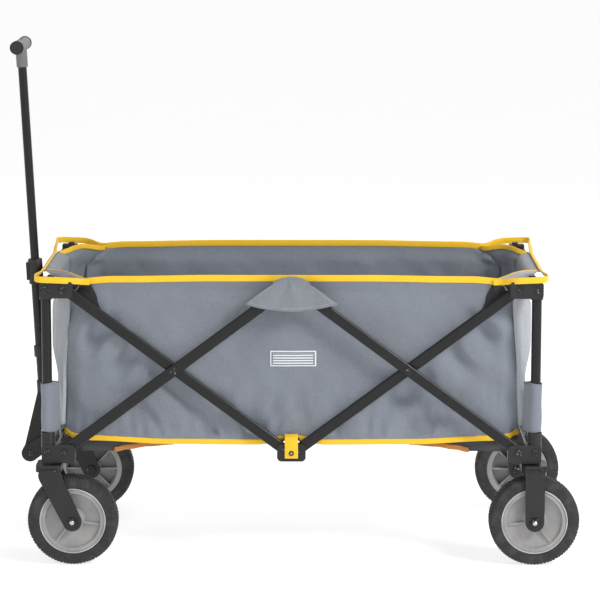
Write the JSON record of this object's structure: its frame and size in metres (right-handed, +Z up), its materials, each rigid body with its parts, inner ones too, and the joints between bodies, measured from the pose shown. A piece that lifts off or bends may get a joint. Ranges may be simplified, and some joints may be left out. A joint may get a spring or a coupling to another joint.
{
  "type": "folding utility wagon",
  "caption": "Folding fabric utility wagon with scissor side frames, swivel front casters, fixed rear wheels and a telescopic T pull handle.",
  "frame": {"origin": "on the ground under the middle of the wagon's overall length and width, handle upright and extended, all wheels on the ground", "axes": "+X from the handle towards the fixed rear wheels, +Z up, near side at -Y"},
  "size_m": [1.0394, 0.484, 0.943],
  "materials": {
    "binding_yellow": "woven binding tape",
    "bolt_steel": "zinc plated",
    "cloth_dark": "plain-weave polyester",
    "cloth_light": "plain-weave polyester",
    "cloth_main": "plain-weave polyester",
    "frame_black": "satin powder coat",
    "grip_grey": "soft-touch moulding",
    "label_white": "printed patch",
    "plastic_black": "moulded, fine texture",
    "tyre_black": "solid rubber with a fine tread",
    "wheel_grey": "moulded"
  },
  "bodies": {
    "lower_front": {"front_posts": "frame_black", "front_lower_brackets": "plastic_black", "front_lower_crossbar": "frame_black", "front_lower_bolts": "bolt_steel", "handle_mount": "plastic_black", "handle_pivot_pin": "bolt_steel"},
    "upper_front": {"front_inner_posts": "frame_black", "front_upper_brackets": "plastic_black", "front_upper_crossbar": "frame_black", "front_upper_bolts": "bolt_steel", "front_panel": "cloth_main", "front_sleeves": "cloth_light"},
    "lower_rear": {"rear_posts": "frame_black", "rear_lower_brackets": "plastic_black", "rear_lower_crossbar": "frame_black", "rear_lower_bolts": "bolt_steel", "rear_forks": "plastic_black", "rear_axles": "bolt_steel"},
    "upper_rear": {"rear_inner_posts": "frame_black", "rear_upper_brackets": "plastic_black", "rear_upper_crossbar": "frame_black", "rear_upper_bolts": "bolt_steel", "rear_panel": "cloth_main", "rear_sleeves": "cloth_light"},
    "front_outer_scissor": {"front_outer_bars": "frame_black", "front_cross_rivets": "bolt_steel"},
    "front_inner_scissor": {"front_inner_bars": "frame_black"},
    "rear_outer_scissor": {"rear_outer_bars": "frame_black", "rear_cross_rivets": "bolt_steel"},
    "rear_inner_scissor": {"rear_inner_bars": "frame_black"},
    "top_hub": {"top_hubs": "plastic_black", "top_hub_rivets": "bolt_steel", "side_panel_near": "cloth_main", "side_panel_far": "cloth_main", "hub_flaps": "cloth_main", "floor_panel": "cloth_main", "floor_mat": "cloth_dark"},
    "bottom_hub": {"bottom_hubs": "plastic_black", "bottom_hub_rivets": "bolt_steel", "bottom_cross_tube": "frame_black", "bottom_straps": "binding_yellow"},
    "caster_near": {"caster_fork_near": "plastic_black", "caster_axle_near": "bolt_steel"},
    "caster_far": {"caster_fork_far": "plastic_black", "caster_axle_far": "bolt_steel"},
    "front_wheel_near": {"front_hub_near": "wheel_grey", "front_tyre_near": "tyre_black"},
    "front_wheel_far": {"front_hub_far": "wheel_grey", "front_tyre_far": "tyre_black"},
    "rear_wheel_near": {"rear_hub_near": "wheel_grey", "rear_tyre_near": "tyre_black"},
    "rear_wheel_far": {"rear_hub_far": "wheel_grey", "rear_tyre_far": "tyre_black"},
    "handle_lower": {"handle_link": "plastic_black", "handle_outer_tube": "frame_black", "handle_clamp": "plastic_black", "handle_clip": "plastic_black"},
    "handle_upper": {"handle_inner_tube": "frame_black", "handle_grip": "grip_grey", "handle_grip_caps": "plastic_black"}
  },
  "joints": [
    {"name": "fold", "type": "hinge", "parent": "lower_front", "child": "front_outer_scissor", "pos_m": [-0.417, 0, 0.21], "axis": [0, -1, 0], "range_deg": [0, 45.5], "deforming": ["side_panel_near", "side_panel_far", "floor_panel", "floor_mat"]},
    {"name": "front_scissor_cross", "type": "hinge", "parent": "front_outer_scissor", "child": "front_inner_scissor", "pos_m": [-0.217, 0, 0.359], "axis": [0, -1, 0], "range_deg": [-91, 0]},
    {"name": "front_top_pivot", "type": "hinge", "parent": "front_inner_scissor", "child": "upper_front", "pos_m": [-0.417, 0, 0.508], "axis": [0, -1, 0], "range_deg": [0, 45.5]},
    {"name": "top_hub_front_pivot", "type": "hinge", "parent": "front_outer_scissor", "child": "top_hub", "pos_m": [-0.017, 0, 0.508], "axis": [0, -1, 0], "range_deg": [-45.5, 0]},
    {"name": "bottom_hub_front_pivot", "type": "hinge", "parent": "front_inner_scissor", "child": "bottom_hub", "pos_m": [-0.017, 0, 0.21], "axis": [0, -1, 0], "range_deg": [0, 45.5]},
    {"name": "top_hub_rear_pivot", "type": "hinge", "parent": "top_hub", "child": "rear_outer_scissor", "pos_m": [0.007, 0, 0.508], "axis": [0, -1, 0], "range_deg": [-45.5, 0]},
    {"name": "bottom_hub_rear_pivot", "type": "hinge", "parent": "bottom_hub", "child": "rear_inner_scissor", "pos_m": [0.007, 0, 0.21], "axis": [0, -1, 0], "range_deg": [0, 45.5]},
    {"name": "rear_low_pivot", "type": "hinge", "parent": "rear_outer_scissor", "child": "lower_rear", "pos_m": [0.407, 0, 0.21], "axis": [0, -1, 0], "range_deg": [0, 45.5]},
    {"name": "rear_top_pivot", "type": "hinge", "parent": "rear_inner_scissor", "child": "upper_rear", "pos_m": [0.407, 0, 0.508], "axis": [0, -1, 0], "range_deg": [-45.5, 0]},
    {"name": "caster_swivel_near", "type": "hinge", "parent": "lower_front", "child": "caster_near", "pos_m": [-0.447, -0.21, 0.15], "axis": [0, 0, 1], "continuous": true},
    {"name": "caster_swivel_far", "type": "hinge", "parent": "lower_front", "child": "caster_far", "pos_m": [-0.447, 0.21, 0.15], "axis": [0, 0, 1], "continuous": true},
    {"name": "front_wheel_spin_near", "type": "hinge", "parent": "caster_near", "child": "front_wheel_near", "pos_m": [-0.403, -0.21, 0.0825], "axis": [0, 1, 0], "continuous": true},
    {"name": "front_wheel_spin_far", "type": "hinge", "parent": "caster_far", "child": "front_wheel_far", "pos_m": [-0.403, 0.21, 0.0825], "axis": [0, 1, 0], "continuous": true},
    {"name": "rear_wheel_spin_near", "type": "hinge", "parent": "lower_rear", "child": "rear_wheel_near", "pos_m": [0.437, -0.21, 0.0825], "axis": [0, 1, 0], "continuous": true},
    {"name": "rear_wheel_spin_far", "type": "hinge", "parent": "lower_rear", "child": "rear_wheel_far", "pos_m": [0.437, 0.21, 0.0825], "axis": [0, 1, 0], "continuous": true},
    {"name": "handle_pivot", "type": "hinge", "parent": "lower_front", "child": "handle_lower", "pos_m": [-0.502, 0, 0.16], "axis": [0, -1, 0], "range_deg": [0, 100]},
    {"name": "handle_slide", "type": "slide", "parent": "handle_lower", "child": "handle_upper", "axis": [-0.0489, 0, 0.9988], "range_m": [-0.168, 0]}
  ],
  "couplings": [
    {"joint": "front_scissor_cross", "follows": "fold", "ratio": -2},
    {"joint": "front_top_pivot", "follows": "fold", "ratio": 1},
    {"joint": "top_hub_front_pivot", "follows": "fold", "ratio": -1},
    {"joint": "bottom_hub_front_pivot", "follows": "fold", "ratio": 1},
    {"joint": "top_hub_rear_pivot", "follows": "fold", "ratio": -1},
    {"joint": "bottom_hub_rear_pivot", "follows": "fold", "ratio": 1},
    {"joint": "rear_low_pivot", "follows": "fold", "ratio": 1},
    {"joint": "rear_top_pivot", "follows": "fold", "ratio": -1}
  ]
}
